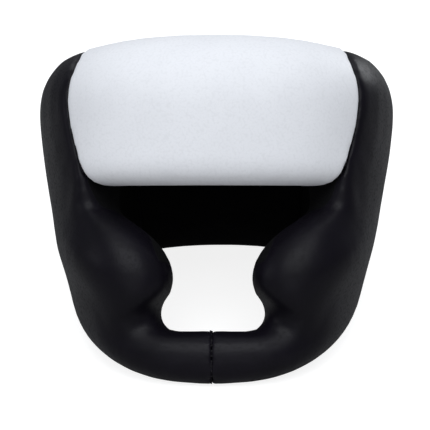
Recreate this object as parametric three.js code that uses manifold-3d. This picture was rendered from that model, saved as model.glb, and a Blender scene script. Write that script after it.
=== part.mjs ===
// Padded head guard with a closed crown, full cheeks and a chin bar, for sport.
// Millimetres, +Z up. It stands by itself on its chin bar and its nape rim, face towards -Y, leaning back.
// Every piece is a patch of the space between two forms: the guard's outside and the head's hollow.
// The forms are worked out square to the face, and the whole guard is leant back at the end.
import * as THREE from "three";
import Module from "manifold-3d";
import { mergeVertices } from "three/addons/utils/BufferGeometryUtils.js";

const wasm = await Module();
wasm.setup();

// Outside form, square to the face
const GUARD_WIDTH = 261; // across the temples
const GUARD_TOP = 256; // chin bar's underside to the dome that the pads follow
const WIDEST_HEIGHT = 189;
const BROW_REACH = 135; // ear line to the front of the brow
const CHIN_REACH = 128; // ear line to the front of the chin bar
const BACK_REACH = 128; // ear line to the back
const NAPE_REACH = 104; // the same at the chin's height, where the back form has drawn in
const JAW_WIDTH = 178; // the form's width at the chin's height
const JAW_CURVE = 1.4; // how late the sides draw in on the way down
const PLAN_SQUARENESS = 2.5;
const JAW_SQUARENESS = 3.5; // the plan's squareness at the chin's height
const DOME_SQUARENESS = 2.45;

// Padding, from the outside form to the hollow
const TEMPLE_PAD = 42;
const JAW_PAD = 30;
const BROW_PAD = 38;
const CHIN_PAD = 31;
const BACK_PAD = 30;
const CROWN_PAD = 27;
const HOLLOW_SQUARENESS = 2.45;

// Face opening
const BROW_HEIGHT = 137;
const EYE_WIDTH = 146; // between the side pads at the brow
const EYE_SLANT = 10; // how much wider the opening is on the inside, at the brow
const MOUTH_GAP = 56; // between the cheeks
const CHIN_BAR_HEIGHT = 37;

// Seams and edges, turned from the front around the ear line, in degrees
const SEAM_TURN = 46.4; // brow pad to side pad, at the temple
const BACK_SEAM_TURN = 138; // side pad to back pad
const SEAM_GAP = 1.5;
const CHIN_SEAM_GAP = 0.5;
const SEAM_ROUND = 3;
const SEAM_ROUND_IN = 3;
const EDGE_ROLL = 16; // rolled free edge, outside
const EDGE_ROLL_IN = 14; // rolled free edge, inside
const TOP_ROLL = 15;
const TOP_ROLL_IN = 4;
const CHIN_SEAM_ROUND = 1.5;

// Stuffing that stands proud of the outside form
const BROW_PUFF = 4;
const CHEEK_PUFF = 11;
const CHEEK_CREASE = 9;

// Ear openings
const EAR_WIDTH = 42;
const EAR_HEIGHT = 56;
const EAR_UP = 112;
const EAR_BACK = 6; // behind the ear line
const EAR_FLARE = 9; // rounding of the opening's lips

// Crown panel and rear strap
const CROWN_WIDTH = 162; // the oval between the pads' top edges
const CROWN_FRONT = 68; // its front edge, ahead of the ear line
const CROWN_BACK = 78;
const CROWN_SQUARENESS = 2.9;
const CROWN_GAP = 0.5; // between the pads' top edges and the panel, as climb
const CROWN_SHARE = 0.5; // the crown panel's thickness, as a share of the padding there
const CROWN_FLOOR = 0.04; // and where its underside lies in it
const STRAP_WIDTH = 46;
const STRAP_THICKNESS = 2.6;
const STRAP_UP = 136;
const STRAP_TURN = 116; // where its ends lie on the side pads
const STRAP_ROUND = 1;
const STRAP_GAP = 0.5;

// Stance: the lean that brings the chin bar's underside and the nape rim down to one level
const LEAN = 23.1;
const SEAT_PRESS = 1.2; // how far the padding is pressed flat where it rests
const RIM_ARCH = 8; // how far the lower rim lifts off between chin and nape

const rad = THREE.MathUtils.degToRad;
const lerp = THREE.MathUtils.lerp;
const smooth = (x, from, to) => THREE.MathUtils.smoothstep(x, from, to);
const bump = (x, middle, reach) => Math.exp(-(((x - middle) / reach) ** 2));
const steps = (from, to, count) =>
  Array.from({ length: count + 1 }, (_, i) => lerp(from, to, i / count));

// Materials
const whiteLeather = new THREE.MeshStandardMaterial({ color: 0xe9eaee, roughness: 0.5 });
const blackLeather = new THREE.MeshStandardMaterial({ color: 0x17161a, roughness: 0.42 });
const blackWebbing = new THREE.MeshStandardMaterial({ color: 0x121214, roughness: 0.85 });

// A smooth value from a short table: rows are sorted by the column `from`, and `to` is the column wanted.
function fromTable(rows, from, to, x) {
  const last = rows.length - 1;
  if (x <= rows[0][from]) return rows[0][to];
  if (x >= rows[last][from]) return rows[last][to];
  const i = rows.findIndex((row) => row[from] > x) - 1;
  const slope = (k) => {
    const before = rows[Math.max(0, k - 1)];
    const after = rows[Math.min(last, k + 1)];
    return (after[to] - before[to]) / (after[from] - before[from]);
  };
  const span = rows[i + 1][from] - rows[i][from];
  const t = (x - rows[i][from]) / span;
  const t2 = t * t;
  const t3 = t2 * t;
  return (
    (2 * t3 - 3 * t2 + 1) * rows[i][to] +
    (t3 - 2 * t2 + t) * span * slope(i) +
    (3 * t2 - 2 * t3) * rows[i + 1][to] +
    (t3 - t2) * span * slope(i + 1)
  );
}

// The forms. A place is given by its turn from the front, in degrees, and its climb: the height in mm up
// to the widest level, and from there on the way over the dome, measured so that both run on evenly.
const DOME = GUARD_TOP - WIDEST_HEIGHT;
const climbOver = (degrees) => WIDEST_HEIGHT + DOME * rad(degrees);
const POLE = climbOver(90);

// Distance from the ear line to a rounded-square oval, in the direction of a turn.
function ovalReach(turn, halfWidth, front, back, squareness) {
  const across = Math.abs(Math.sin(rad(turn))) / halfWidth;
  const ahead = Math.cos(rad(turn));
  const along = Math.abs(ahead) / (ahead > 0 ? front : back);
  return (across ** squareness + along ** squareness) ** (-1 / squareness);
}

// A point in the padding: depth 0 lies on the hollow and 1 on the outside form.
function place(turn, climb, depth) {
  const below = (Math.max(0, WIDEST_HEIGHT - climb) / WIDEST_HEIGHT) ** JAW_CURVE;
  const over = Math.max(0, climb - WIDEST_HEIGHT) / DOME;
  const side = Math.max(0, Math.cos(over));
  const up = Math.sin(over);
  const stretch = (side ** DOME_SQUARENESS + up ** DOME_SQUARENESS) ** (-1 / DOME_SQUARENESS);
  const halfWidth = lerp(GUARD_WIDTH, JAW_WIDTH, below) / 2;
  const front = lerp(BROW_REACH, CHIN_REACH, below);
  const back = lerp(BACK_REACH, NAPE_REACH, below);
  const outside = ovalReach(turn, halfWidth, front, back, lerp(PLAN_SQUARENESS, JAW_SQUARENESS, below));
  const hollow = ovalReach(
    turn,
    halfWidth - lerp(TEMPLE_PAD, JAW_PAD, below),
    front - lerp(BROW_PAD, CHIN_PAD, below),
    back - BACK_PAD,
    HOLLOW_SQUARENESS,
  );
  const reach = lerp(hollow, outside, depth) * side * stretch;
  const dome = DOME - CROWN_PAD * (1 - depth);
  const height = over > 0 ? WIDEST_HEIGHT + dome * up * stretch : climb;
  return new THREE.Vector3(reach * Math.sin(rad(turn)), -reach * Math.cos(rad(turn)), height);
}

// Height over the surface that the guard stands on. Its plane runs through the chin bar's underside.
const SEAT_FORWARD = -(CHIN_REACH - CHIN_PAD / 2);
const standsOver = (p) => p.z * Math.cos(rad(LEAN)) - (p.y - SEAT_FORWARD) * Math.sin(rad(LEAN));

// Leather and foam that would reach below that surface are pressed flat against it.
function pressFlat(p) {
  const sunk = Math.max(0, -standsOver(p));
  return new THREE.Vector3(p.x, p.y - sunk * Math.sin(rad(LEAN)), p.z + sunk * Math.cos(rad(LEAN)));
}

// The value between low and high at which a rising function passes zero.
function solve(low, high, value) {
  for (let i = 0; i < 26; i++) {
    const middle = (low + high) / 2;
    if (value(middle) < 0) low = middle;
    else high = middle;
  }
  return high;
}

// Edges and seams

// The pads' top edge: an oval round the crown, in the middle of the padding.
function topEdge(turn) {
  const oval = ovalReach(turn, CROWN_WIDTH / 2, CROWN_FRONT, CROWN_BACK, CROWN_SQUARENESS);
  return solve(WIDEST_HEIGHT, POLE, (climb) => {
    const p = place(turn, climb, 0.5);
    return oval - Math.hypot(p.x, p.y);
  });
}

// The lower rim: where the padding's middle meets the surface that the guard stands on.
function lowerRim(turn) {
  const arch = RIM_ARCH * Math.sin(rad(turn)) ** 2 - SEAT_PRESS;
  return solve(-GUARD_TOP / 4, WIDEST_HEIGHT, (climb) => standsOver(place(turn, climb, 0.5)) - arch);
}

// The seam between brow pad and side pad, as seen from the front: it bows outwards, then runs back over
// the temple. up is a share of the way from the brow edge to the top edge, turn a share of SEAM_TURN.
const BROW_SEAM = [
  { up: 0, turn: 0.83 },
  { up: 0.1, turn: 0.875 },
  { up: 0.2, turn: 0.912 },
  { up: 0.4, turn: 0.975 },
  { up: 0.6, turn: 1.01 },
  { up: 0.78, turn: 1.035 },
  { up: 0.86, turn: 1.09 },
  { up: 0.93, turn: 1.19 },
  { up: 1, turn: 1.33 },
];
const SEAM_TOP_TURN = SEAM_TURN * BROW_SEAM.at(-1).turn; // where that seam meets the top edge
const SEAM_TOP = topEdge(SEAM_TOP_TURN);
const browSeam = (climb) =>
  SEAM_TURN * fromTable(BROW_SEAM, "up", "turn", (climb - BROW_HEIGHT) / (SEAM_TOP - BROW_HEIGHT));

// The face opening's edge from the eye corner down over the cheek to the chin bar's middle. Across is
// `mouth` times half the mouth gap, and `eye` times what the eye opening is wider; up is a share of the
// opening's height.
const OPENING = [
  { mouth: 1, eye: 1, up: 1 },
  { mouth: 1, eye: 0.94, up: 0.88 },
  { mouth: 1, eye: 0.72, up: 0.785 },
  { mouth: 1, eye: 0.42, up: 0.675 },
  { mouth: 1, eye: 0.2, up: 0.57 },
  { mouth: 1, eye: 0.07, up: 0.475 },
  { mouth: 1, eye: 0, up: 0.365 },
  { mouth: 1, eye: 0.06, up: 0.26 },
  { mouth: 1, eye: 0.24, up: 0.18 },
  { mouth: 1, eye: 0.28, up: 0.13 },
  { mouth: 1, eye: 0.22, up: 0.05 },
  { mouth: 1, eye: 0.1, up: 0.005 },
  { mouth: 0.75, eye: 0, up: 0 },
  { mouth: 0, eye: 0, up: 0 },
];
const openingEdge = new THREE.CatmullRomCurve3(
  OPENING.map(
    (row) =>
      new THREE.Vector3(
        (row.mouth * MOUTH_GAP) / 2 + (row.eye * (EYE_WIDTH - MOUTH_GAP)) / 2,
        0,
        lerp(CHIN_BAR_HEIGHT, BROW_HEIGHT, row.up),
      ),
  ),
  false,
  "centripetal",
);

// The turn at which the padding's middle lies a given way across, in front of the ears.
const turnAcross = (across, climb) => solve(0, 80, (turn) => place(turn, climb, 0.5).x - across);

// Solids

// A closed body through rings that all have the same number of points. Each end is closed by a strip that
// joins the ring's outer half to its inner half.
function bodyFromRings(rings) {
  const count = rings[0].length;
  const points = rings.flat();
  const faces = [];
  const quad = (a, b, c, d) => faces.push(a, b, c, a, c, d);
  for (let r = 0; r + 1 < rings.length; r++) {
    for (let i = 0; i < count; i++) {
      const next = (i + 1) % count;
      quad(r * count + i, r * count + next, (r + 1) * count + next, (r + 1) * count + i);
    }
  }
  const last = (rings.length - 1) * count;
  for (let i = 0; i + 1 < count / 2; i++) {
    quad(count - 1 - i, count - 2 - i, i + 1, i);
    quad(last + i, last + i + 1, last + count - 2 - i, last + count - 1 - i);
  }
  return bodyFromFaces(points, faces);
}

// A closed body's geometry, with its faces turned outwards whichever way round its rings run.
function bodyFromFaces(points, faces) {
  let volume = 0;
  for (let i = 0; i < faces.length; i += 3) {
    const [a, b, c] = [points[faces[i]], points[faces[i + 1]], points[faces[i + 2]]];
    volume += a.dot(new THREE.Vector3().crossVectors(b, c));
  }
  const geometry = new THREE.BufferGeometry();
  const positions = points.flatMap((p) => p.toArray());
  geometry.setAttribute("position", new THREE.Float32BufferAttribute(positions, 3));
  geometry.setIndex(volume < 0 ? faces.toReversed() : faces);
  return geometry;
}

// One section of a pad: a ring round a rounded bar, as [along, off]. Along runs over the length from the
// first edge to the second, off from low to high. The ring starts at the first edge and goes round by the
// outside. A slant draws the first edge back on the inside.
const PAD_CORNER = 3; // steps round a pad's corner
const STRAP_CORNER = 1; // and round a strap's
function padRing({ length, low, high, first, second, slant = 0, sideSteps, cornerSteps }) {
  const limit = (radius) => Math.min(radius, (high - low) * 0.49, length * 0.48);
  const corner = (atSecond, outside, radius, fromEndFace) =>
    steps(fromEndFace ? 0 : 90, fromEndFace ? 90 : 0, cornerSteps).map((degrees) => {
      const along = radius * (1 - Math.cos(rad(degrees)));
      const off = radius * (1 - Math.sin(rad(degrees)));
      return [atSecond ? length - along : along, outside ? high - off : low + off];
    });
  const side = (from, to, off) =>
    steps(from, to, sideSteps)
      .slice(1, -1)
      .map((along) => [along, off]);
  const [firstOut, firstIn] = [limit(first.out), limit(first.in)];
  const [secondOut, secondIn] = [limit(second.out), limit(second.in)];
  const ring = [
    ...corner(false, true, firstOut, true),
    ...side(firstOut, length - secondOut, high),
    ...corner(true, true, secondOut, false),
    ...corner(true, false, secondIn, true),
    ...side(length - secondIn, firstIn, low),
    ...corner(false, false, firstIn, false),
  ];
  return ring.map(([along, off]) => {
    const inwards = (high - off) / (high - low);
    return [along + slant * inwards * (1 - along / length), off];
  });
}

// How far a rounded end draws a face in, at a distance from that end.
const endInset = (radius, distance) =>
  distance >= radius ? 0 : radius - Math.sqrt(radius ** 2 - (radius - distance) ** 2);

// Stations along a pad, closer together over its rounded ends.
const END_SHARES = [0, 0.1, 0.4, 1];
function stations({ from, to, size, count, startRound, endRound }) {
  const near = (round) => END_SHARES.map((share) => (share * round * (to - from)) / size);
  const start = near(startRound).map((d) => from + d);
  const end = near(endRound).map((d) => to - d);
  return [...start, ...steps(start.at(-1), end.at(-1), count).slice(1, -1), ...end.reverse()];
}

// A pad: rings on the section lines of a patch. `line` gives the turn and climb at station u and share v
// of the way from the first edge to the second; `edges` the roundings there; `puff` how far its outside
// stands proud. A strap has a thickness of its own over the outside form, given as its `layer`.
function padBody({
  at,
  size,
  line,
  edges,
  ends,
  sideSteps,
  puff = () => 0,
  margin = SEAM_GAP / 2,
  layer = null,
}) {
  const rings = at.map((u) => {
    const spot = (v, depth, off = 0) => {
      const [turn, climb] = line(u, v);
      const thickness = place(turn, climb, 1).distanceTo(place(turn, climb, 0));
      return place(turn, climb, depth + off / thickness);
    };
    const middle = steps(0, 1, 12).map((v) => spot(v, 0.5));
    const whole = middle.slice(1).reduce((sum, p, i) => sum + p.distanceTo(middle[i]), 0);
    const thick = spot(0.5, 1).distanceTo(spot(0.5, 0));
    const fromStart = (u - at[0]) * size;
    const fromEnd = (at.at(-1) - u) * size;
    const inset = (side) => endInset(ends.start[side], fromStart) + endInset(ends.end[side], fromEnd);
    const ring = padRing({
      length: whole - 2 * margin,
      low: (layer ? layer.low : 0) + inset("in"),
      high: (layer ? layer.high : thick) - inset("out"),
      ...edges(u),
      sideSteps,
      cornerSteps: layer ? STRAP_CORNER : PAD_CORNER,
    });
    return ring.map(([along, off]) => {
      const v = (along + margin) / whole;
      if (layer) return spot(v, 1, off);
      const share = off / thick;
      return pressFlat(spot(v, share, puff(u, v) * Math.max(0, share) ** 2));
    });
  });
  return bodyFromRings(rings);
}

// A dome closed over the middle: spokes all round, each from the pole over the outside to the edge and
// back inside.
function domeBody({ spokes, edge, low, high, round, rings }) {
  const points = [place(0, POLE, high), place(0, POLE, low)];
  const faces = [];
  const profile = (turn) => {
    const rim = edge(turn);
    const thick = place(turn, rim, 1).distanceTo(place(turn, rim, 0));
    const ring = padRing({
      length: POLE - rim,
      low: low * thick,
      high: high * thick,
      first: { out: round, in: round },
      second: { out: 0, in: 0 },
      sideSteps: rings,
      cornerSteps: PAD_CORNER,
    });
    return ring
      .filter(([along]) => along < POLE - rim - 1e-6)
      .map(([along, off]) => place(turn, rim + along, off / thick));
  };
  const count = profile(0).length;
  const half = count / 2;
  for (let s = 0; s < spokes; s++) points.push(...profile((360 * s) / spokes));
  const spot = (s, i) => 2 + (s % spokes) * count + i;
  for (let s = 0; s < spokes; s++) {
    faces.push(0, spot(s, half - 1), spot(s + 1, half - 1));
    faces.push(1, spot(s + 1, half), spot(s, half));
    for (let i = 0; i < count; i++) {
      if (i === half - 1) continue;
      const next = (i + 1) % count;
      faces.push(spot(s, i), spot(s + 1, i), spot(s + 1, next));
      faces.push(spot(s, i), spot(s + 1, next), spot(s, next));
    }
  }
  return bodyFromFaces(points, faces);
}

// Booleans
function solidOf(geometry) {
  const bare = geometry.clone();
  for (const name of Object.keys(bare.attributes)) if (name !== "position") bare.deleteAttribute(name);
  const merged = mergeVertices(bare, 1e-4);
  return new wasm.Manifold(
    new wasm.Mesh({
      numProp: 3,
      vertProperties: merged.attributes.position.array,
      triVerts: new Uint32Array(merged.index.array),
    }),
  );
}

function geometryOf(solid) {
  const mesh = solid.getMesh();
  const geometry = new THREE.BufferGeometry();
  geometry.setAttribute("position", new THREE.BufferAttribute(mesh.vertProperties, 3));
  geometry.setIndex(new THREE.BufferAttribute(mesh.triVerts, 1));
  return geometry;
}

const cut = (geometry, tool) => geometryOf(solidOf(geometry).subtract(solidOf(tool)));

// The same piece on the other side of the head.
function mirrored(geometry) {
  const other = geometry.clone().scale(-1, 1, 1);
  const index = Array.from(other.index.array);
  for (let i = 0; i < index.length; i += 3) [index[i + 1], index[i + 2]] = [index[i + 2], index[i + 1]];
  other.setIndex(index);
  return other;
}

// Brow pad: from seam to seam, each section line running up from the brow edge to the top edge
const browLine = (u, v) => {
  const climb = lerp(BROW_HEIGHT, topEdge(u * SEAM_TOP_TURN), v);
  return [u * browSeam(climb), climb];
};
const BROW_SIZE = 130; // from its middle line to a seam, for spacing the stations
const topEdges = { out: TOP_ROLL, in: TOP_ROLL_IN };
const seamEdges = { out: SEAM_ROUND, in: SEAM_ROUND_IN };
const seamEnds = { start: seamEdges, end: seamEdges };
const rollEdges = { out: EDGE_ROLL, in: EDGE_ROLL_IN };

const browEnd = 1 - SEAM_GAP / 2 / BROW_SIZE;
const browAt = stations({
  from: -browEnd,
  to: browEnd,
  size: 2 * BROW_SIZE,
  count: 17,
  startRound: SEAM_ROUND,
  endRound: SEAM_ROUND,
});
const BROW_STEPS = 14;

function browPad() {
  return padBody({
    at: browAt,
    size: BROW_SIZE,
    line: browLine,
    edges: () => ({ first: rollEdges, second: topEdges }),
    ends: seamEnds,
    puff: (u, v) => BROW_PUFF * (1 - u ** 2) * Math.sin(Math.PI * v),
    sideSteps: BROW_STEPS,
    margin: 0,
  });
}

// Side pad: temple, cheek and half the chin bar in one. Stations run down from the top edge, then forwards
// round the jaw to the chin seam; each section line runs from the front edge to the back edge.
const TEMPLE_END = 0.4; // station of the eye corner, where the brow seam ends and the face opening begins
const JAW_SWEEP = 1.1; // how the stations spread along the lower rim
const SIDE_SIZE = 300; // along its middle, for spacing the stations
const BACK_TOP = topEdge(BACK_SEAM_TURN);
const sideLine = (u, v) => {
  const inTemple = Math.min(1, u / TEMPLE_END);
  const inFace = Math.max(0, (u - TEMPLE_END) / (1 - TEMPLE_END));
  const backTurn = BACK_SEAM_TURN * (1 - inFace) ** JAW_SWEEP;
  const backClimb = u < TEMPLE_END ? lerp(BACK_TOP, lowerRim(backTurn), inTemple) : lowerRim(backTurn);
  const edge = openingEdge.getPointAt(inFace);
  const frontClimb = u < TEMPLE_END ? lerp(SEAM_TOP, BROW_HEIGHT, inTemple) : edge.z;
  const frontTurn = u < TEMPLE_END ? browSeam(frontClimb) : turnAcross(edge.x, edge.z);
  const topBow = topEdge(lerp(SEAM_TOP_TURN, BACK_SEAM_TURN, v)) - lerp(SEAM_TOP, BACK_TOP, v);
  return [lerp(frontTurn, backTurn, v), lerp(frontClimb, backClimb, v) + topBow * (1 - inTemple)];
};
const CHEEK_AT = { u: 0.63, v: 0.26, reachU: 0.13, reachV: 0.2 };
const CREASE_AT = { u: 0.825, v: 0.1, reachU: 0.035, reachV: 0.3 };
const sidePuff = (u, v) =>
  CHEEK_PUFF * bump(u, CHEEK_AT.u, CHEEK_AT.reachU) * bump(v, CHEEK_AT.v, CHEEK_AT.reachV) -
  CHEEK_CREASE * bump(u, CREASE_AT.u, CREASE_AT.reachU) * bump(v, CREASE_AT.v, CREASE_AT.reachV);
const mixed = (a, b, t) => ({ out: lerp(a.out, b.out, t), in: lerp(a.in, b.in, t) });
const chinEnd = { out: CHIN_SEAM_ROUND, in: CHIN_SEAM_ROUND };

const sideAt = stations({
  from: 0,
  to: 1 - CHIN_SEAM_GAP / 2 / SIDE_SIZE,
  size: SIDE_SIZE,
  count: 28,
  startRound: TOP_ROLL,
  endRound: CHIN_SEAM_ROUND,
});
const SIDE_STEPS = 10;

function sidePad() {
  return padBody({
    at: sideAt,
    size: SIDE_SIZE,
    line: sideLine,
    edges: (u) => ({
      first: mixed(seamEdges, rollEdges, smooth(u, TEMPLE_END - 0.03, TEMPLE_END + 0.05)),
      second: mixed(seamEdges, rollEdges, smooth(u, TEMPLE_END - 0.03, TEMPLE_END + 0.04)),
      slant: EYE_SLANT * bump(u, TEMPLE_END + 0.05, 0.09),
    }),
    ends: { start: topEdges, end: chinEnd },
    puff: sidePuff,
    sideSteps: SIDE_STEPS,
  });
}

// Back pad, between the two back seams
const backHalf = 180 - BACK_SEAM_TURN;
const backLine = (u, v) => {
  const turn = 180 + u * backHalf;
  return [turn, lerp(lowerRim(turn), topEdge(turn), v)];
};
const BACK_SIZE = 82; // from its middle line to a seam
const backEnd = 1 - SEAM_GAP / 2 / BACK_SIZE;
const backAt = stations({
  from: -backEnd,
  to: backEnd,
  size: 2 * BACK_SIZE,
  count: 11,
  startRound: SEAM_ROUND,
  endRound: SEAM_ROUND,
});
const BACK_STEPS = 9;

function backPad() {
  return padBody({
    at: backAt,
    size: BACK_SIZE,
    line: backLine,
    edges: () => ({ first: rollEdges, second: topEdges }),
    ends: seamEnds,
    sideSteps: BACK_STEPS,
    margin: 0,
  });
}

// Crown panel, let in between the pads' top edges
function crownPanel() {
  return domeBody({
    spokes: 32,
    edge: (turn) => topEdge(turn) + CROWN_GAP,
    low: CROWN_FLOOR,
    high: CROWN_SHARE,
    round: SEAM_ROUND,
    rings: 6,
  });
}

// Rear strap: a closed band across the back pad, its ends lying on the side pads
const strapEdge = { out: STRAP_ROUND, in: STRAP_ROUND };
function rearStrap() {
  const half = 180 - STRAP_TURN;
  return padBody({
    at: steps(-1, 1, 20),
    size: 1,
    line: (u, v) => [180 + u * half, STRAP_UP + STRAP_WIDTH * (v - 0.5)],
    edges: () => ({ first: strapEdge, second: strapEdge }),
    ends: { start: { out: 0, in: 0 }, end: { out: 0, in: 0 } },
    sideSteps: 4,
    margin: 0,
    layer: { low: STRAP_GAP, high: STRAP_GAP + STRAP_THICKNESS },
  });
}

// Ear opening's tool: an oval bar across the right side, flaring out to both faces of the padding
function earTool() {
  const turn = 90 + THREE.MathUtils.radToDeg(Math.atan(EAR_BACK / (GUARD_WIDTH / 2)));
  const faceIn = place(turn, EAR_UP, 0).x;
  const faceOut = place(turn, EAR_UP, 1).x;
  const flareIn = EAR_FLARE / 2;
  const sides = 28;
  const oval = (x, flare) =>
    steps(0, 360, sides)
      .slice(0, -1)
      .map((degrees) => {
        const angle = rad(degrees + 180 / sides);
        return new THREE.Vector3(
          x,
          EAR_BACK + (EAR_WIDTH / 2 + flare) * Math.cos(angle),
          EAR_UP + (EAR_HEIGHT / 2 + flare) * Math.sin(angle),
        );
      });
  const lip = (face, sign, radius) =>
    [1, 0.55, 0.2, 0].map((share) => oval(face + sign * radius * share, endInset(radius, radius * share)));
  return bodyFromRings([
    oval(faceIn - 2 * TEMPLE_PAD, flareIn),
    ...lip(faceIn, 1, flareIn).reverse(),
    ...lip(faceOut, -1, EAR_FLARE),
    oval(faceOut + TEMPLE_PAD, EAR_FLARE),
  ]);
}

// The guard: pieces square to the face, in a group that leans back as the guard stands
const standing = new THREE.Group();
function add(name, geometry, material) {
  const mesh = new THREE.Mesh(geometry, material);
  mesh.name = name;
  standing.add(mesh);
}

const ear = earTool();
const side = cut(sidePad(), ear);
add("brow_pad", browPad(), whiteLeather);
add("side_pad_right", side, blackLeather);
add("side_pad_left", mirrored(side), blackLeather);
add("back_pad", backPad(), blackLeather);
add("crown_panel", crownPanel(), blackLeather);
add("rear_strap", rearStrap(), blackWebbing);

standing.rotation.x = -rad(LEAN);
const guard = new THREE.Group();
guard.add(standing);
guard.updateMatrixWorld(true);
const extent = new THREE.Box3().setFromObject(guard, true);
standing.position.set(0, -(extent.min.y + extent.max.y) / 2, -extent.min.z);

export default guard;
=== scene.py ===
# %% [markdown]
# # A padded head guard in leather
#
# A head guard is made of stuffed leather pads sewn to each other: a white one over the brow, two black ones
# that run from the temples over the cheeks to the chin, a back pad and a crown panel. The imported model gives
# every pad its place. Here each pad is skinned anew, swelled like a stuffed pad, and given leather, seams,
# stitches and a lining.

# %% The frame
import math

import bmesh
import bpy
import numpy as np
from mathutils import Matrix, Vector, noise
from mathutils.bvhtree import BVHTree


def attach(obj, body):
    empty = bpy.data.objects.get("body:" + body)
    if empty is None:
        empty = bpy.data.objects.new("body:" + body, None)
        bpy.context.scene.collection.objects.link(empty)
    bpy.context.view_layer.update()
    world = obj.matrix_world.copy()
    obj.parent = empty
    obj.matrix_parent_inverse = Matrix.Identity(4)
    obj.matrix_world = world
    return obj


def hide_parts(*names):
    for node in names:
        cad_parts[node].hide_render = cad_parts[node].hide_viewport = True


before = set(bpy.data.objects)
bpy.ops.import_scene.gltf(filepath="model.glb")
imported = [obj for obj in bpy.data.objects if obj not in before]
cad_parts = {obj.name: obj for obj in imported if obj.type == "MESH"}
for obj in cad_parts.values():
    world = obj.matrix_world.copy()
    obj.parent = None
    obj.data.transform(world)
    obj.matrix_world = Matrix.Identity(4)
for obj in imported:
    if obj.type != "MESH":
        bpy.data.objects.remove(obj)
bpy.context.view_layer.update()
MM = 0.001

# %% [markdown]
# Operators act on whatever is selected, and the loaded model is selected all over. One small helper clears
# that and picks the pieces that the next step works on.

# %% Picking pieces
def let_go():
    for other in bpy.context.selected_objects:
        other.select_set(False)


def pick(*pieces):
    let_go()
    for piece in pieces:
        piece.select_set(True)
    bpy.context.view_layer.objects.active = pieces[-1]


def apply_modifiers(piece):
    pick(piece)
    for modifier in list(piece.modifiers):
        bpy.ops.object.modifier_apply(modifier=modifier.name)


# %% [markdown]
# The guard rests on its chin bar and its nape rim, so it leans back. Its makers would measure it upright,
# square to the face, so these two helpers go between the leaning guard and an upright one. Upright, the
# origin lies on the ear line at the height of the chin bar's underside, the face looks towards -Y, and a turn
# is an angle round from the face.

# %% Upright and leaning
LEAN = math.radians(23.1)
UPRIGHT_ORIGIN = Vector((0, -45.35, -42.78)) * MM
leaning = Matrix.Translation(UPRIGHT_ORIGIN) @ Matrix.Rotation(-LEAN, 4, "X")
upright = leaning.inverted()


def around(turn, reach, height):
    """A point of the leaning guard, given by its turn in degrees and its reach and height in millimetres."""
    angle = math.radians(turn)
    return leaning @ (Vector((math.sin(angle) * reach, -math.cos(angle) * reach, height)) * MM)


# %% [markdown]
# The photograph looks straight at the face, so the camera looks along the guard's own level, about 23 degrees
# above the table. A long lens from a metre and a half keeps the flat look of a catalogue picture.

# %% Camera
CAMERA_DISTANCE = 1500 * MM
CAMERA_HEIGHT = 116.7 * MM
CAMERA_TURN = math.radians(1.8)
CAMERA_SIDE = -1.5 * MM
PICTURE_WIDTH = 319.9 * MM
SENSOR = 36

bpy.ops.object.camera_add()
camera = bpy.context.object
camera.name = "camera"
turned = Matrix.Rotation(CAMERA_TURN, 4, "Z")
eye = turned @ Vector((CAMERA_SIDE, -CAMERA_DISTANCE, CAMERA_HEIGHT))
camera.matrix_world = leaning @ Matrix.Translation(eye) @ turned @ Matrix.Rotation(math.radians(90), 4, "X")
camera.data.sensor_width = SENSOR
camera.data.lens = SENSOR * CAMERA_DISTANCE / PICTURE_WIDTH
camera.data.clip_end = 20
bpy.context.scene.camera = camera
print("camera stands", round(camera.location.z / MM), "mm over the table, lens", round(camera.data.lens), "mm")

# %% [markdown]
# A catalogue picture has a plain white ground. It is often taken on a pane with soft light under it, which
# keeps the ground white even where the piece shades it, here behind the mouth. So much light from below would
# turn black leather grey, so the pane glows fully for the camera and only a little for the piece. Black
# leather shows the lamps more than its own colour, so they are large and soft: a key lamp high over the
# camera, a wide weak one from in front, one from above and behind for the white pad's top edge, one from
# behind on the right for the gleam on the temple, and two weak ones on the left.

# %% Floor and lamps
FLOOR_GLOW = 0.85
GLOW_ON_PIECE = 0.12

bpy.ops.mesh.primitive_plane_add(size=30, location=(0, 0, -0.2 * MM))
floor = bpy.context.object
floor.name = "floor"

pane = bpy.data.materials.new("lit_pane")
pane.use_nodes = True
pane_surface = pane.node_tree.nodes["Principled BSDF"]
pane_surface.inputs["Base Color"].default_value = (0.35, 0.35, 0.35, 1)
pane_surface.inputs["Roughness"].default_value = 0.9
pane_surface.inputs["Emission Color"].default_value = (1, 1, 1, 1)
ray = pane.node_tree.nodes.new("ShaderNodeLightPath")
glow = pane.node_tree.nodes.new("ShaderNodeMapRange")
glow.inputs["To Min"].default_value = GLOW_ON_PIECE
glow.inputs["To Max"].default_value = FLOOR_GLOW
pane.node_tree.links.new(ray.outputs["Is Camera Ray"], glow.inputs["Value"])
pane.node_tree.links.new(glow.outputs["Result"], pane_surface.inputs["Emission Strength"])
floor.data.materials.append(pane)

LAMPS = [
    # name, turn and rise in degrees, distance and size in metres, watts
    ("key_lamp", 2, 60, 2.2, 1.7, 34),
    ("front_lamp", 0, 16, 2.6, 2.2, 12),
    ("high_lamp", 175, 68, 2.1, 1.6, 10),
    ("right_back_lamp", 142, 20, 2.2, 0.8, 11),
    ("left_back_lamp", -150, 40, 2.2, 0.8, 4),
    ("left_lamp", -70, 25, 2.0, 0.8, 3),
]
for name, turn, rise, distance, size, watts in LAMPS:
    across = math.cos(math.radians(rise)) * distance
    angle = math.radians(turn)
    up = math.sin(math.radians(rise)) * distance
    place = Vector((math.sin(angle) * across, -math.cos(angle) * across, up))
    bpy.ops.object.light_add(type="AREA", location=place)
    lamp = bpy.context.object
    lamp.name = name
    lamp.data.size = size
    lamp.data.energy = watts
    lamp.data.color = (0.95, 0.975, 1)
    lamp.rotation_euler = (Vector((0, 0, 0.1)) - place).to_track_quat("-Z", "Y").to_euler()

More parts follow.
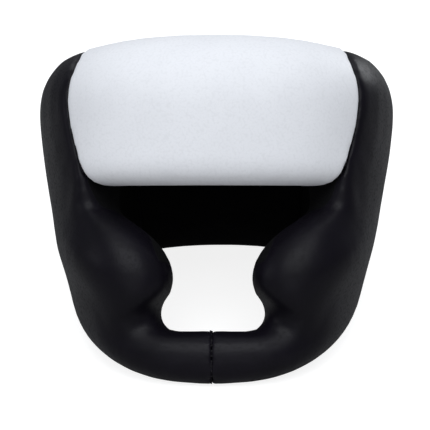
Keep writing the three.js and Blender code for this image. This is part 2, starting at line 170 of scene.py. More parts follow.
studio = bpy.data.worlds.new("studio")
studio.use_nodes = True
studio.node_tree.nodes["Background"].inputs["Color"].default_value = (0.88, 0.93, 1, 1)
studio.node_tree.nodes["Background"].inputs["Strength"].default_value = 0.2
bpy.context.scene.world = studio
bpy.context.scene.view_settings.view_transform = "Standard"
print(len(LAMPS), "lamps")

# %% [markdown]
# Leather is never even. Its grain is a net of tiny pebbles with fine creases between them, its colour drifts
# a little from place to place, and near a seam it is gathered. Each of these is used by more than one
# material, so each is a shader node group with named sockets.

# %% Group helpers
def new_group(name, inputs, outputs):
    group = bpy.data.node_groups.new(name, "ShaderNodeTree")
    for socket, kind, value in inputs:
        made = group.interface.new_socket(socket, in_out="INPUT", socket_type=kind)
        if value is not None:
            made.default_value = value
    for socket, kind in outputs:
        group.interface.new_socket(socket, in_out="OUTPUT", socket_type=kind)
    return group, group.nodes.new("NodeGroupInput"), group.nodes.new("NodeGroupOutput")


def math_node(tree, operation, a, b=0.5, c=0.0):
    node = tree.nodes.new("ShaderNodeMath")
    node.operation = operation
    for socket, value in zip(node.inputs, (a, b, c)):
        if isinstance(value, bpy.types.NodeSocket):
            tree.links.new(value, socket)
        else:
            socket.default_value = value
    return node.outputs[0]


def blend_node(tree, share, a, b):
    node = tree.nodes.new("ShaderNodeMix")
    node.data_type = "RGBA"
    for socket, value in ((node.inputs[0], share), (node.inputs[6], a), (node.inputs[7], b)):
        if isinstance(value, bpy.types.NodeSocket):
            tree.links.new(value, socket)
        else:
            socket.default_value = value
    return node.outputs[2]


def range_node(tree, value, low, high, to_low=0.0, to_high=1.0):
    node = tree.nodes.new("ShaderNodeMapRange")
    tree.links.new(value, node.inputs["Value"])
    for socket, number in zip(node.inputs[1:5], (low, high, to_low, to_high)):
        socket.default_value = number
    return node.outputs["Result"]


# %% Leather grain
FLOAT, COLOUR, VECTOR = "NodeSocketFloat", "NodeSocketColor", "NodeSocketVector"


def build_leather_grain():
    group, given, out = new_group(
        "leather_grain",
        [("Pebbles", FLOAT, 700.0), ("Crease Depth", FLOAT, 0.5)],
        [("Height", FLOAT), ("Pits", FLOAT)],
    )
    where = group.nodes.new("ShaderNodeTexCoord").outputs["Object"]
    drift = group.nodes.new("ShaderNodeTexNoise")
    drift.inputs["Scale"].default_value = 160
    drift.inputs["Detail"].default_value = 2
    group.links.new(where, drift.inputs["Vector"])
    shifted = group.nodes.new("ShaderNodeMix")
    shifted.data_type = "VECTOR"
    shifted.inputs[0].default_value = 0.0035
    group.links.new(where, shifted.inputs[4])
    group.links.new(drift.outputs["Color"], shifted.inputs[5])
    pebbles = group.nodes.new("ShaderNodeTexVoronoi")
    pebbles.feature = "SMOOTH_F1"
    pebbles.inputs["Smoothness"].default_value = 0.6
    group.links.new(shifted.outputs[1], pebbles.inputs["Vector"])
    group.links.new(given.outputs["Pebbles"], pebbles.inputs["Scale"])
    dome = math_node(group, "SUBTRACT", 1.0, pebbles.outputs["Distance"])
    creases = group.nodes.new("ShaderNodeTexNoise")
    creases.inputs["Detail"].default_value = 4
    creases.inputs["Roughness"].default_value = 0.6
    group.links.new(where, creases.inputs["Vector"])
    group.links.new(math_node(group, "MULTIPLY", given.outputs["Pebbles"], 0.25), creases.inputs["Scale"])
    ridge = math_node(group, "ABSOLUTE", math_node(group, "SUBTRACT", creases.outputs["Fac"], 0.5))
    fold = math_node(group, "MULTIPLY", range_node(group, ridge, 0.0, 0.06), given.outputs["Crease Depth"])
    group.links.new(math_node(group, "ADD", dome, fold), out.inputs["Height"])
    group.links.new(range_node(group, pebbles.outputs["Distance"], 0.45, 0.8), out.inputs["Pits"])
    return group


leather_grain = build_leather_grain()


# %% Cloudy tone and gathers
def build_cloudy_tone():
    """Soft patches, from 0 to 1, a few centimetres wide."""
    group, given, out = new_group("cloudy_tone", [("Patches", FLOAT, 22.0)], [("Tone", FLOAT)])
    where = group.nodes.new("ShaderNodeTexCoord").outputs["Object"]
    patches = group.nodes.new("ShaderNodeTexNoise")
    patches.inputs["Detail"].default_value = 3
    patches.inputs["Roughness"].default_value = 0.55
    group.links.new(where, patches.inputs["Vector"])
    group.links.new(given.outputs["Patches"], patches.inputs["Scale"])
    group.links.new(range_node(group, patches.outputs["Fac"], 0.32, 0.68), out.inputs["Tone"])
    return group


def build_gathers():
    """Fine puckers that run square away from a seam. The pads carry two attributes for it: how near the seam
    is, and the spot of the seam that is nearest, which stays the same all along a pucker."""
    group, given, out = new_group(
        "gathers", [("Closeness", FLOAT, 420.0)], [("Height", FLOAT), ("Near", FLOAT)]
    )
    spot = group.nodes.new("ShaderNodeAttribute")
    spot.attribute_name = "seam_spot"
    near = group.nodes.new("ShaderNodeAttribute")
    near.attribute_name = "near_seam"
    waves = group.nodes.new("ShaderNodeTexNoise")
    waves.inputs["Detail"].default_value = 1
    group.links.new(spot.outputs["Vector"], waves.inputs["Vector"])
    group.links.new(given.outputs["Closeness"], waves.inputs["Scale"])
    held = math_node(group, "POWER", near.outputs["Fac"], 2.0)
    group.links.new(math_node(group, "MULTIPLY", waves.outputs["Fac"], held), out.inputs["Height"])
    group.links.new(near.outputs["Fac"], out.inputs["Near"])
    return group


def build_brushed_lining():
    """The soft cloth inside: a short nap with a fine knit under it."""
    group, given, out = new_group(
        "brushed_lining", [("Knit", FLOAT, 900.0)], [("Height", FLOAT), ("Nap", FLOAT)]
    )
    where = group.nodes.new("ShaderNodeTexCoord").outputs["Object"]
    knit = group.nodes.new("ShaderNodeTexVoronoi")
    group.links.new(where, knit.inputs["Vector"])
    group.links.new(given.outputs["Knit"], knit.inputs["Scale"])
    nap = group.nodes.new("ShaderNodeTexNoise")
    nap.inputs["Scale"].default_value = 260
    nap.inputs["Detail"].default_value = 4
    group.links.new(where, nap.inputs["Vector"])
    group.links.new(math_node(group, "ADD", knit.outputs["Distance"], nap.outputs["Fac"]), out.inputs["Height"])
    group.links.new(nap.outputs["Fac"], out.inputs["Nap"])
    return group


cloudy_tone = build_cloudy_tone()
gathers = build_gathers()
brushed_lining = build_brushed_lining()
print("groups:", [group.name for group in bpy.data.node_groups])

# %% [markdown]
# The pads' leather is a coated one with a satin gloss. One recipe serves the white and the black, with other
# colours and values. Its fine grain scatters light that strikes at a flat angle, so there the gloss is let
# down. Inside, the same pad is covered in a matt black lining: an attribute says how far round to the inside
# a place faces, and the material changes over in a narrow band, where the real pads have their lining seam.

# %% Leather
def use_group(tree, group, **values):
    node = tree.nodes.new("ShaderNodeGroup")
    node.node_tree = group
    for socket, value in values.items():
        node.inputs[socket.replace("_", " ")].default_value = value
    return node


PEBBLES_PER_METRE = 620
LINING_STARTS, LINING_FULL = 0.60, 0.64
LINING_BLACK = (0.0035, 0.0035, 0.004, 1)


def padded_leather(name, light, dark, pit, rough, bump):
    material = bpy.data.materials.new(name)
    material.use_nodes = True
    tree = material.node_tree
    surface = tree.nodes["Principled BSDF"]
    grain = use_group(tree, leather_grain, Pebbles=PEBBLES_PER_METRE, Crease_Depth=0.45)
    tone = use_group(tree, cloudy_tone, Patches=24.0)
    puckers = use_group(tree, gathers, Closeness=420.0)
    cloth = use_group(tree, brushed_lining, Knit=900.0)
    inside = tree.nodes.new("ShaderNodeAttribute")
    inside.attribute_name = "inside"
    is_lining = range_node(tree, inside.outputs["Fac"], LINING_STARTS, LINING_FULL)
    hide = blend_node(tree, tone.outputs["Tone"], dark, light)
    hide = blend_node(tree, math_node(tree, "MULTIPLY", grain.outputs["Pits"], 0.35), hide, pit)
    tree.links.new(blend_node(tree, is_lining, hide, LINING_BLACK), surface.inputs["Base Color"])
    gloss = math_node(tree, "MULTIPLY_ADD", tone.outputs["Tone"], -0.07, rough)
    gloss = math_node(tree, "MULTIPLY_ADD", grain.outputs["Pits"], 0.12, gloss)
    slope = tree.nodes.new("ShaderNodeLayerWeight")
    gloss = math_node(tree, "MULTIPLY_ADD", range_node(tree, slope.outputs["Facing"], 0.55, 1.0), 0.2, gloss)
    matt = math_node(tree, "SUBTRACT", 0.95, gloss)
    tree.links.new(math_node(tree, "MULTIPLY_ADD", is_lining, matt, gloss), surface.inputs["Roughness"])
    height = math_node(tree, "MULTIPLY_ADD", puckers.outputs["Height"], 6.0, grain.outputs["Height"])
    skin = tree.nodes.new("ShaderNodeBump")
    skin.inputs["Distance"].default_value = 0.00012
    skin.inputs["Strength"].default_value = bump
    tree.links.new(height, skin.inputs["Height"])
    nap = tree.nodes.new("ShaderNodeBump")
    nap.inputs["Distance"].default_value = 0.0003
    tree.links.new(math_node(tree, "MULTIPLY", cloth.outputs["Height"], is_lining), nap.inputs["Height"])
    tree.links.new(skin.outputs["Normal"], nap.inputs["Normal"])
    tree.links.new(nap.outputs["Normal"], surface.inputs["Normal"])
    return material


white_leather = padded_leather(
    "white_leather",
    light=(0.785, 0.79, 0.82, 1),
    dark=(0.755, 0.76, 0.79, 1),
    pit=(0.67, 0.675, 0.70, 1),
    rough=0.52,
    bump=0.25,
)
white_leather.node_tree.nodes["Principled BSDF"].inputs["Specular IOR Level"].default_value = 0.25
black_leather = padded_leather(
    "black_leather",
    light=(0.0060, 0.0050, 0.0085, 1),
    dark=(0.0042, 0.0036, 0.0058, 1),
    pit=(0.003, 0.0028, 0.0035, 1),
    rough=0.4,
    bump=0.2,
)
black_leather.node_tree.nodes["Principled BSDF"].inputs["Specular IOR Level"].default_value = 0.11
print("leathers:", white_leather.name, black_leather.name)

# %% [markdown]
# Now the pads. Each starts as a copy of its solid from the model, drawn in a little, because it swells. A
# voxel remesh gives it an even skin, a light smoothing takes the facets away, and cloth with air pressure
# inside rounds it as stuffing does. Along the seams it is held, so the pads stay apart there, and no place
# may move further than a cap.

# %% Reading and moving a skin
def coordinates(mesh):
    flat = np.empty(len(mesh.vertices) * 3, np.float32)
    mesh.vertices.foreach_get("co", flat)
    return flat.reshape(-1, 3).astype(float)


def set_coordinates(mesh, places):
    mesh.vertices.foreach_set("co", np.asarray(places, np.float32).ravel())
    mesh.update()


def tree_of(*nodes):
    """A search tree over some CAD solids, to ask how far away they are."""
    corners, faces = [], []
    for node in nodes:
        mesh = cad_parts[node].data
        faces += [[i + len(corners) for i in face.vertices] for face in mesh.polygons]
        corners += [v.co.copy() for v in mesh.vertices]
    return BVHTree.FromPolygons(corners, faces)


def skin_tree(mesh):
    return BVHTree.FromPolygons([v.co for v in mesh.vertices], [f.vertices for f in mesh.polygons])


def seam_facts(mesh, neighbours):
    """For every point: how far off the neighbouring pads are, and the spot of theirs that is nearest."""
    distances = np.zeros(len(mesh.vertices))
    spots = np.zeros((len(mesh.vertices), 3))
    for i, vertex in enumerate(mesh.vertices):
        spots[i], _, _, distances[i] = neighbours.find_nearest(vertex.co)
    return distances, spots


def fade(distances, full, none):
    """A weight that is 1 up to a distance, 0 beyond another, and smooth in between."""
    share = np.clip((none - distances) / (none - full), 0, 1)
    return share * share * (3 - 2 * share)


# %% Stuffing a pad
VOXEL = 3.4 * MM
DRAW_IN = 0.3 * MM
CAP = 3 * MM
SEAM_HOLD = 6 * MM
LAST_FRAME = 20


def skin_of(node, name):
    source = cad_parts[node]
    pad = bpy.data.objects.new(name, source.data.copy())
    bpy.context.scene.collection.objects.link(pad)
    pad.data.materials.clear()
    pick(pad)
    bpy.ops.object.mode_set(mode="EDIT")
    bpy.ops.mesh.select_all(action="SELECT")
    bpy.ops.mesh.remove_doubles(threshold=0.01 * MM)
    bpy.ops.transform.shrink_fatten(value=-DRAW_IN)
    bpy.ops.object.mode_set(mode="OBJECT")
    skin = pad.modifiers.new("even_skin", "REMESH")
    skin.mode = "VOXEL"
    skin.voxel_size = VOXEL
    rub = pad.modifiers.new("rub_facets_away", "SMOOTH")
    rub.factor = 0.5
    rub.iterations = 9
    apply_modifiers(pad)
    return pad


def swell(pad, neighbours, pressure=4.0):
    before = coordinates(pad.data)
    distances, _ = seam_facts(pad.data, neighbours)
    held = pad.vertex_groups.new(name="held_by_seams")
    for i, weight in enumerate(fade(distances, SEAM_HOLD / 3, SEAM_HOLD)):
        if weight > 0:
            held.add([i], weight, "REPLACE")
    cloth = pad.modifiers.new("stuffing", "CLOTH")
    cloth.settings.use_pressure = True
    cloth.settings.uniform_pressure_force = pressure
    cloth.settings.effector_weights.gravity = 0
    cloth.settings.tension_stiffness = 30
    cloth.settings.compression_stiffness = 30
    cloth.settings.bending_stiffness = 2
    cloth.settings.vertex_group_mass = "held_by_seams"
    cloth.point_cache.frame_start = 1
    cloth.point_cache.frame_end = LAST_FRAME
    for number in range(1, LAST_FRAME + 1):
        bpy.context.scene.frame_set(number)
    apply_modifiers(pad)
    pad.vertex_groups.clear()
    bpy.context.scene.frame_set(1)
    moved = coordinates(pad.data) - before
    length = np.linalg.norm(moved, axis=1)
    share = np.minimum(1, CAP / np.maximum(length, 1e-9))
    places = before + moved * share[:, None]
    places[:, 2] = np.maximum(places[:, 2], 0)
    set_coordinates(pad.data, places)
    print(pad.name, "swelled by up to", round(min(length.max(), CAP) / MM, 1), "mm")


# %% [markdown]
# A stuffed pad is round all over, but along a seam it is pulled tight against its neighbour. So near a seam
# the skin may stand only a little over the model's own edge, and more the further it is from the seam. The
# white pad is the plumper one, so the black leather beside it gives way sooner. Where remeshing and smoothing
# have drawn the skin in, it is let out again, and to a sharp edge at the seams, apart from the black edge
# beside the brow, which falls away. Sewing also gathers the leather a little: near a seam it is lifted and
# sunk in small puckers that run away from it, moved in the mesh, so they show in the gloss.

# %% Seams of a pad
CORNER_PUSH = 3 * MM
CRISP_REACH = 5 * MM
SOFT_REACH = 13 * MM
EVEN_ROUNDS = 50
KEPT_REACH, EVENED_REACH = 3 * MM, 9 * MM
PUCKERS_PER_METRE = 120
PUCKER_FULL, PUCKER_REACH = 1 * MM, 12 * MM


def even_out(mesh, moves, kept):
    """Every place's move is shared with its neighbours, round after round, so no flat faces of the model show."""
    ends = np.empty(len(mesh.edges) * 2, np.int32)
    mesh.edges.foreach_get("vertices", ends)
    first, second = ends.reshape(-1, 2).T
    count = np.bincount(ends, minlength=len(moves))
    for _ in range(EVEN_ROUNDS):
        for axis in range(3):
            along = moves[:, axis]
            total = np.bincount(first, along[second], len(moves))
            total += np.bincount(second, along[first], len(moves))
            moves[:, axis] += 0.5 * (1 - kept) * (total / count - along)
    return moves


def settle_at_seams(mesh, own, distances, crisp_distances, tight, free):
    """A place near a sharp seam is looked up from a little outside the skin, as from there a corner is nearest."""
    places = coordinates(mesh)
    normals = np.array([v.normal[:] for v in mesh.vertices])
    allowed = CAP * (1 - fade(distances, tight, free))
    crisp = fade(crisp_distances, CRISP_REACH, SOFT_REACH)
    let_out = np.maximum(crisp, 1 - fade(distances, CRISP_REACH, SOFT_REACH))
    moves = np.zeros_like(places)
    for i, place in enumerate(places):
        near = np.array(own.find_nearest(Vector(place))[0]) - place
        gap = np.linalg.norm(near)
        if near @ normals[i] > 0:
            if crisp[i] > 0:
                edge = np.array(own.find_nearest(Vector(place + CORNER_PUSH * normals[i]))[0]) - place
                near += (edge - near) * crisp[i]
            moves[i] = near * let_out[i]
        elif gap > allowed[i]:
            moves[i] = near * (1 - allowed[i] / gap)
    set_coordinates(mesh, places + even_out(mesh, moves, fade(distances, KEPT_REACH, EVENED_REACH)))


def pucker(mesh, distances, spots, most):
    places = coordinates(mesh)
    normals = np.array([v.normal[:] for v in mesh.vertices])
    waves = np.array([noise.noise(Vector(spot) * PUCKERS_PER_METRE) for spot in spots])
    depth = waves * fade(distances, PUCKER_FULL, PUCKER_REACH) ** 2 * most
    places += normals * depth[:, None]
    places[:, 2] = np.maximum(places[:, 2], 0)
    set_coordinates(mesh, places)


# %% [markdown]
# The same pass writes the attributes that the leather's material reads: how near a seam is, the seam's
# nearest spot, and how far round to the inside a place faces. Upright, a face looks inwards if its normal
# points to the line through the head's middle. Round the face opening the lining comes further out and covers
# the rolled edge, so places there that face across the opening count as inside too.

# %% Finishing a pad
FINE_REACH = 5 * MM
NECK_HEIGHT = 170 * MM
OPENING_FRONT, OPENING_BACK = -60 * MM, -50 * MM
CHEEK_FULL, CHEEK_NONE = 88 * MM, 80 * MM
BROW_FULL, BROW_NONE = 150 * MM, 155 * MM
ACROSS_FULL, ACROSS_NONE = -0.8, -0.55
ROLL_LINING = 0.35


def write_attribute(mesh, name, kind, values):
    attribute = mesh.attributes.new(name, kind, "POINT")
    field = "vector" if kind == "FLOAT_VECTOR" else "value"
    attribute.data.foreach_set(field, np.asarray(values, np.float32).ravel())


def inwardness(mesh):
    """From 0 on the outside to 1 on the inside of the guard."""
    turn_upright = np.array(upright.to_3x3())
    places = coordinates(mesh) @ turn_upright.T + np.array(upright.translation)
    normals = np.array([v.normal[:] for v in mesh.vertices]) @ turn_upright.T
    out = places * (1, 1, 0)
    out[:, 2] = np.maximum(0, places[:, 2] - NECK_HEIGHT)
    out /= np.linalg.norm(out, axis=1)[:, None]
    inside = 0.5 - 0.5 * np.sum(out * normals, axis=1)
    in_front = fade(places[:, 1], OPENING_FRONT, OPENING_BACK)
    over_cheek = fade(-places[:, 2], -CHEEK_FULL, -CHEEK_NONE)
    under_brow = fade(places[:, 2], BROW_FULL, BROW_NONE)
    across = fade(normals[:, 0] * np.sign(places[:, 0]), ACROSS_FULL, ACROSS_NONE)
    return inside + ROLL_LINING * in_front * over_cheek * under_brow * across


def refine_at_seams(pad, neighbours):
    """Faces near a seam are cut in four, so that the edge there can be sharp."""
    mesh = pad.data
    distances, _ = seam_facts(mesh, neighbours)
    pick(pad)
    bpy.ops.object.mode_set(mode="EDIT")
    bpy.ops.mesh.select_all(action="DESELECT")
    bpy.ops.object.mode_set(mode="OBJECT")
    for face in mesh.polygons:
        face.select = bool(max(distances[i] for i in face.vertices) < FINE_REACH)
    bpy.ops.object.mode_set(mode="EDIT")
    bpy.ops.mesh.select_mode(type="FACE")
    bpy.ops.mesh.subdivide(number_cuts=1)
    bpy.ops.object.mode_set(mode="OBJECT")


def finish_pad(pad, node, neighbours, crisp_neighbours, leather):
    finer = pad.modifiers.new("finer", "SUBSURF")
    finer.levels = 1
    finer.render_levels = 1
    apply_modifiers(pad)
    refine_at_seams(pad, neighbours)
    mesh = pad.data
    distances, spots = seam_facts(mesh, neighbours)
    crisp_distances, _ = seam_facts(mesh, crisp_neighbours)
    settle_at_seams(mesh, tree_of(node), distances, crisp_distances, leather["tight"], leather["free"])
    rub = pad.modifiers.new("rub_kinks_away", "SMOOTH")
    rub.factor = 0.4
    rub.iterations = 2
    apply_modifiers(pad)
    pucker(mesh, distances, spots, leather["pucker"])
    write_attribute(mesh, "near_seam", "FLOAT", fade(distances, PUCKER_FULL, PUCKER_REACH))
    write_attribute(mesh, "seam_spot", "FLOAT_VECTOR", spots)
    write_attribute(mesh, "inside", "FLOAT", inwardness(mesh))
    mesh.materials.append(leather["material"])
    mesh.shade_smooth()
    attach(pad, "root")
    print(pad.name, "has", len(mesh.polygons), "faces")


# %% Making the pads
NEIGHBOURS = {
    "brow_pad": ("side_pad_left", "side_pad_right", "crown_panel"),
    "side_pad_left": ("brow_pad", "back_pad", "crown_panel", "side_pad_right"),
    "side_pad_right": ("brow_pad", "back_pad", "crown_panel", "side_pad_left"),
    "back_pad": ("side_pad_left", "side_pad_right", "crown_panel"),
    "crown_panel": ("brow_pad", "side_pad_left", "side_pad_right", "back_pad"),
}
WHITE = {
    "slot": "white_leather",
    "material": white_leather,
    "tight": 5 * MM,
    "free": 34 * MM,
    "pucker": 0.25 * MM,
}
BLACK = {
    "slot": "black_leather",
    "material": black_leather,
    "tight": 12 * MM,
    "free": 60 * MM,
    "pucker": 0.35 * MM,
}

pads = {}
for node, others in NEIGHBOURS.items():
    leather = WHITE if node == "brow_pad" else BLACK
    crisp = [other for other in others if other != "brow_pad"]
    pad = skin_of(node, "padded_" + node)
    swell(pad, tree_of(*others))
    finish_pad(pad, node, tree_of(*others), tree_of(*crisp), leather)
    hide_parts(node)
    pads[node] = pad

# %% [markdown]
# Between two pads lies the seam allowance: the edges of both leathers and a strip of tape, folded in and sewn
# through. It closes the joint, so no light shows between the pads. Each strip is the end wall of one pad,
# copied, trimmed back round its edge and given the thickness of the gap. A wide inset can throw out spikes
# where a wall is narrow, so the trimming goes in small passes, and each pass ends with every corner put back
# on the wall.

# %% Seam strips
WALL_REACH = 1 * MM
TUCK = 0.4 * MM
TRIM = 0.8

SEAMS = [
    # name, pad whose wall is copied, pads on the other side, the gap's width and the strip's depth, in mm
    ("brow_seam_left", "brow_pad", ("side_pad_left",), 1.5, 3.2),
    ("brow_seam_right", "brow_pad", ("side_pad_right",), 1.5, 3.2),
    ("back_seam_left", "back_pad", ("side_pad_left",), 1.5, 2.4),
    ("back_seam_right", "back_pad", ("side_pad_right",), 1.5, 2.4),
    ("chin_seam", "side_pad_left", ("side_pad_right",), 0.5, 2.4),
    ("crown_seam", "crown_panel", ("brow_pad", "side_pad_left", "side_pad_right", "back_pad"), 0.5, 1.6),
]


def seam_strip(name, node, others, gap, depth):
    strip = bpy.data.objects.new(name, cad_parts[node].data.copy())
    bpy.context.scene.collection.objects.link(strip)
    strip.data.materials.clear()
    pick(strip)
    bpy.ops.object.mode_set(mode="EDIT")
    bpy.ops.mesh.select_all(action="SELECT")
    bpy.ops.mesh.remove_doubles(threshold=0.01 * MM)
    bpy.ops.mesh.select_all(action="DESELECT")
    bpy.ops.object.mode_set(mode="OBJECT")
    neighbours = tree_of(*others)
    limit = gap * MM + WALL_REACH
    for face in strip.data.polygons:
        face.select = neighbours.find_nearest(face.center)[3] > limit
    bpy.ops.object.mode_set(mode="EDIT")
    bpy.ops.mesh.delete(type="FACE")
    bpy.ops.object.mode_set(mode="OBJECT")
    wall = skin_tree(strip.data)
    for _ in range(round(depth / TRIM)):
        bpy.ops.object.mode_set(mode="EDIT")
        bpy.ops.mesh.select_all(action="SELECT")
        bpy.ops.mesh.inset(thickness=TRIM * MM)
        bpy.ops.mesh.select_all(action="INVERT")
        bpy.ops.mesh.delete(type="FACE")
        bpy.ops.object.mode_set(mode="OBJECT")
        for vertex in strip.data.vertices:
            vertex.co = wall.find_nearest(vertex.co)[0]
        bpy.ops.object.mode_set(mode="EDIT")
        bpy.ops.mesh.select_all(action="SELECT")
        bpy.ops.mesh.remove_doubles(threshold=0.3 * MM)
        bpy.ops.object.mode_set(mode="OBJECT")
    bpy.ops.object.mode_set(mode="EDIT")
    bpy.ops.mesh.select_all(action="SELECT")
    bpy.ops.transform.shrink_fatten(value=-TUCK)
    bpy.ops.object.mode_set(mode="OBJECT")
    body = strip.modifiers.new("body", "SOLIDIFY")
    body.thickness = gap * MM + 2 * TUCK
    body.offset = 1
    apply_modifiers(strip)
    strip.data.materials.append(black_leather)
    strip.data.shade_smooth()
    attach(strip, "root")
    print(name, "has", len(strip.data.polygons), "faces")


for seam in SEAMS:
    seam_strip(*seam)

# %% [markdown]
# The guard closes at the back with a strap. The picture doesn't show it, so it is a plain one: a band of
# woven webbing that lies across the back pad, each end sewn to a side pad with a box of stitches. A flat grid
# is laid round the back at the strap's height, pushed in until it lies on the pads, and evened out, because a
# taut band bridges the dips.

# %% Rear strap
STRAP_TURN = 116
STRAP_MIDDLE = 136
STRAP_WIDTH = 46
STRAP_THICKNESS = 2.2 * MM
STRAP_LIFT = 0.5 * MM
ALONG, ACROSS = 96, 8

pad_skins = [skin_tree(pad.data) for pad in pads.values()]


def strap_line(along, across):
    """Turn and height of a place on the strap, given by its share along and across, from 0 to 1."""
    turn = STRAP_TURN + (360 - 2 * STRAP_TURN) * along
    return turn, STRAP_MIDDLE + STRAP_WIDTH * (across - 0.5)


def reach_of_pads(turn, height):
    start, axis = around(turn, 190, height), around(turn, 0, height)
    hits = [skin.ray_cast(start, (axis - start).normalized())[0] for skin in pad_skins]
    return max((hit - axis).length for hit in hits if hit)


def along_strap(rows, combine):
    """Each row of the grid becomes the highest, or the mean, of the rows just before and after it."""
    longer = np.pad(rows, ((WINDOW, WINDOW), (0, 0)), mode="edge")
    return combine([longer[i : i + len(rows)] for i in range(2 * WINDOW + 1)], axis=0)


WINDOW = 5
reaches = np.array(
    [
        [reach_of_pads(*strap_line(i / ALONG, j / ACROSS)) for j in range(ACROSS + 1)]
        for i in range(ALONG + 1)
    ]
)
taut = along_strap(along_strap(reaches, np.max), np.mean) + STRAP_LIFT


def strap_spot(along, across, lift=0.0):
    column, row = along * ALONG, across * ACROSS
    i, j = min(int(column), ALONG - 1), min(int(row), ACROSS - 1)
    s, t = column - i, row - j
    near = (1 - t) * taut[i, j] + t * taut[i, j + 1]
    far = (1 - t) * taut[i + 1, j] + t * taut[i + 1, j + 1]
    turn, height = strap_line(along, across)
    return around(turn, ((1 - s) * near + s * far + lift) / MM, height)


let_go()
bpy.ops.mesh.primitive_grid_add(x_subdivisions=ALONG, y_subdivisions=ACROSS, size=1)
strap = bpy.context.object
strap.name = "webbing_strap"
for vertex in strap.data.vertices:
    vertex.co = strap_spot(vertex.co.x + 0.5, vertex.co.y + 0.5)
bpy.ops.object.mode_set(mode="EDIT")
bpy.ops.mesh.select_all(action="SELECT")
bpy.ops.mesh.flip_normals()
bpy.ops.object.mode_set(mode="OBJECT")
middle_face = strap.data.polygons[len(strap.data.polygons) // 2]
outwards = middle_face.center - around(strap_line(0.5, 0.5)[0], 0, STRAP_MIDDLE)

# %% [markdown]
# Webbing is woven in narrow ribs that run along it, crossed by a finer weft, with a thick selvedge on each
# side. The grid's own map runs from 0 to 1 both ways, so the weave is counted in ribs across and picks along.

# %% Webbing
def build_webbing_weave():
    group, given, out = new_group(
        "webbing_weave", [("Ribs", FLOAT, 18.0), ("Picks", FLOAT, 150.0)], [("Height", FLOAT), ("Gap", FLOAT)]
    )
    place_on_map = group.nodes.new("ShaderNodeUVMap")
    place_on_map.uv_map = "UVMap"
    split = group.nodes.new("ShaderNodeSeparateXYZ")
    group.links.new(place_on_map.outputs["UV"], split.inputs[0])
    across = math_node(group, "MULTIPLY", split.outputs["Y"], given.outputs["Ribs"])
    along = math_node(group, "MULTIPLY", split.outputs["X"], given.outputs["Picks"])
    rib = math_node(group, "ABSOLUTE", math_node(group, "SINE", math_node(group, "MULTIPLY", across, math.pi)))
    step = math_node(group, "MULTIPLY", math_node(group, "FLOOR", across, 0.0), 0.5)
    pick_phase = math_node(group, "MULTIPLY", math_node(group, "ADD", along, step), math.pi)
    pick_wave = math_node(group, "ABSOLUTE", math_node(group, "SINE", pick_phase))
    height = math_node(group, "MULTIPLY", rib, math_node(group, "MULTIPLY_ADD", pick_wave, 0.6, 0.4))
    group.links.new(height, out.inputs["Height"])
    group.links.new(math_node(group, "SUBTRACT", 1.0, height), out.inputs["Gap"])
    return group


webbing_weave = build_webbing_weave()
black_webbing = bpy.data.materials.new("black_webbing")
black_webbing.use_nodes = True
webbing_tree = black_webbing.node_tree
webbing_surface = webbing_tree.nodes["Principled BSDF"]
webbing_surface.inputs["Specular IOR Level"].default_value = 0.3
weave = use_group(webbing_tree, webbing_weave, Ribs=16.0, Picks=110.0)
webbing_tone = use_group(webbing_tree, cloudy_tone, Patches=30.0)
YARN_DARK, YARN_LIGHT, YARN_GAP_SHADE = (0.011, 0.011, 0.012, 1), (0.016, 0.016, 0.018, 1), (0.002, 0.002, 0.002, 1)
yarn = blend_node(webbing_tree, webbing_tone.outputs["Tone"], YARN_DARK, YARN_LIGHT)
# Painted shade: the gaps between the ribs get a much darker yarn colour, where the ribs shade each other.
shaded = math_node(webbing_tree, "MULTIPLY", weave.outputs["Gap"], 0.5)
webbing_tree.links.new(blend_node(webbing_tree, shaded, yarn, YARN_GAP_SHADE), webbing_surface.inputs["Base Color"])
fuzz = range_node(webbing_tree, weave.outputs["Gap"], 0.0, 1.0, 0.6, 0.95)
webbing_tree.links.new(fuzz, webbing_surface.inputs["Roughness"])
ribs = webbing_tree.nodes.new("ShaderNodeBump")
ribs.inputs["Distance"].default_value = 0.0004
ribs.inputs["Strength"].default_value = 0.8
webbing_tree.links.new(weave.outputs["Height"], ribs.inputs["Height"])
webbing_tree.links.new(ribs.outputs["Normal"], webbing_surface.inputs["Normal"])

SELVEDGE = 0.5 * MM
band = strap.modifiers.new("band", "SOLIDIFY")
band.thickness = STRAP_THICKNESS
band.offset = 1
edge = strap.modifiers.new("selvedge", "BEVEL")
edge.width = SELVEDGE
edge.segments = 2
edge.limit_method = "ANGLE"
apply_modifiers(strap)
strap.data.shade_smooth()
strap.data.materials.append(black_webbing)
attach(strap, "root")
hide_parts("rear_strap")

# %% [markdown]
# A sewn line is a row of short threads. One stitch is modelled: a thin bar with rounded ends, sunk at both
# ends as the thread goes down into the leather. It is copied along each line, and the copies are joined into
# one piece.

# %% Stitches
THREAD = 0.55 * MM
thread_material = bpy.data.materials.new("sewing_thread")
thread_material.use_nodes = True
thread_surface = thread_material.node_tree.nodes["Principled BSDF"]
thread_surface.inputs["Roughness"].default_value = 0.7
thread_surface.inputs["Specular IOR Level"].default_value = 0.2
thread_tone = use_group(thread_material.node_tree, cloudy_tone, Patches=400.0)
THREAD_DARK, THREAD_LIGHT = (0.006, 0.006, 0.007, 1), (0.02, 0.019, 0.022, 1)
thread_colour = blend_node(thread_material.node_tree, thread_tone.outputs["Tone"], THREAD_DARK, THREAD_LIGHT)
thread_material.node_tree.links.new(thread_colour, thread_surface.inputs["Base Color"])


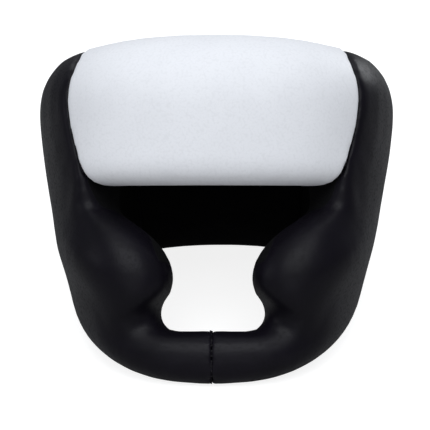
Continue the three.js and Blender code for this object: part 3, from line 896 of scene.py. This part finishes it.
def stitch_mesh(length):
    bpy.ops.mesh.primitive_uv_sphere_add(segments=8, ring_count=6, radius=THREAD)
    stitch = bpy.context.object
    pick(stitch)
    bpy.ops.object.mode_set(mode="EDIT")
    bpy.ops.mesh.select_all(action="SELECT")
    bpy.ops.transform.rotate(value=math.pi / 2, orient_axis="Y", center_override=(0, 0, 0))
    bpy.ops.mesh.select_all(action="DESELECT")
    bpy.ops.object.mode_set(mode="OBJECT")
    for vertex in stitch.data.vertices:
        if abs(vertex.co.x) > 0.01 * MM:
            vertex.co.x += math.copysign(length / 2 - THREAD, vertex.co.x)
        vertex.co.z -= THREAD * (2 * vertex.co.x / length) ** 2
    return stitch


def sew(name, seats, length):
    """A row of stitches. Each seat is a place, the way the stitch runs, and the way out of the surface."""
    first = stitch_mesh(length)
    copies = []
    for place, along, outwards in seats:
        side = outwards.cross(along).normalized()
        turn = Matrix((along.normalized(), side, along.normalized().cross(side))).transposed().to_4x4()
        copy = bpy.data.objects.new(name, first.data.copy())
        bpy.context.scene.collection.objects.link(copy)
        copy.data.transform(Matrix.Translation(place) @ turn)
        copies.append(copy)
    bpy.data.objects.remove(first)
    pick(*copies)
    bpy.ops.object.join()
    row = bpy.context.object
    row.name = name
    row.data.materials.append(thread_material)
    row.data.shade_smooth()
    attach(row, "root")
    print(name, "has", len(seats), "stitches")


# %% [markdown]
# Each strap end is held by a box of stitches with a cross in it. Its corners are given as shares of the
# strap.

# %% Box stitches on the strap
BOX_STITCH = 2.6 * MM
STITCH_PITCH = 3.4 * MM
BOX_INSET, BOX_LENGTH = 0.018, 0.115
BOX_LOW, BOX_HIGH = 0.14, 0.86


def sewn_line(start, end):
    """Seats for stitches on a straight line between two places of the strap."""
    a, b = strap_spot(*start), strap_spot(*end)
    count = round((b - a).length / STITCH_PITCH)
    seats = []
    for i in range(count):
        share = (i + 0.5) / count
        spot = [p + (q - p) * share for p, q in zip(start, end)]
        place = strap_spot(*spot, lift=STRAP_THICKNESS)
        outwards = (place - strap_spot(*spot, lift=-5 * MM)).normalized()
        seats.append((place, (b - a).normalized(), outwards))
    return seats


for name, near, far in (
    ("strap_stitches_right", BOX_INSET, BOX_INSET + BOX_LENGTH),
    ("strap_stitches_left", 1 - BOX_INSET, 1 - BOX_INSET - BOX_LENGTH),
):
    corners = [(near, BOX_LOW), (far, BOX_LOW), (far, BOX_HIGH), (near, BOX_HIGH)]
    sides = [(corners[i], corners[(i + 1) % 4]) for i in range(4)]
    lines = sides + [(corners[0], corners[2]), (corners[1], corners[3])]
    sew(name, [seat for line in lines for seat in sewn_line(*line)], BOX_STITCH)

# %% [markdown]
# On the chin bar the two side pads meet in the middle. That joint is sewn edge to edge, and its short threads
# show as a fine dotted line. Rays from the front find the leather where each stitch sits.

# %% Chin stitches
CHIN_STITCH = 1.6 * MM
CHIN_PITCH = 3.6
CHIN_LOW, CHIN_HIGH = 6, 33
CHIN_SINK = 0.5 * MM

chin_seats = []
height = CHIN_LOW
while height <= CHIN_HIGH:
    hits = []
    for side in (-1, 1):
        for skin in pad_skins:
            spot = Vector((side * 1.6, -190, height)) * MM
            hit, normal, _, _ = skin.ray_cast(leaning @ spot, leaning.to_3x3() @ Vector((0, 1, 0)))
            if hit:
                hits.append((hit, normal))
    nearest = sorted(hits, key=lambda found: (upright @ found[0]).y)[:2]
    place = (nearest[0][0] + nearest[1][0]) / 2
    outwards = (nearest[0][1] + nearest[1][1]).normalized()
    chin_seats.append((place - outwards * CHIN_SINK, Vector((1, 0, 0)), outwards))
    height += CHIN_PITCH
sew("chin_stitches", chin_seats, CHIN_STITCH)
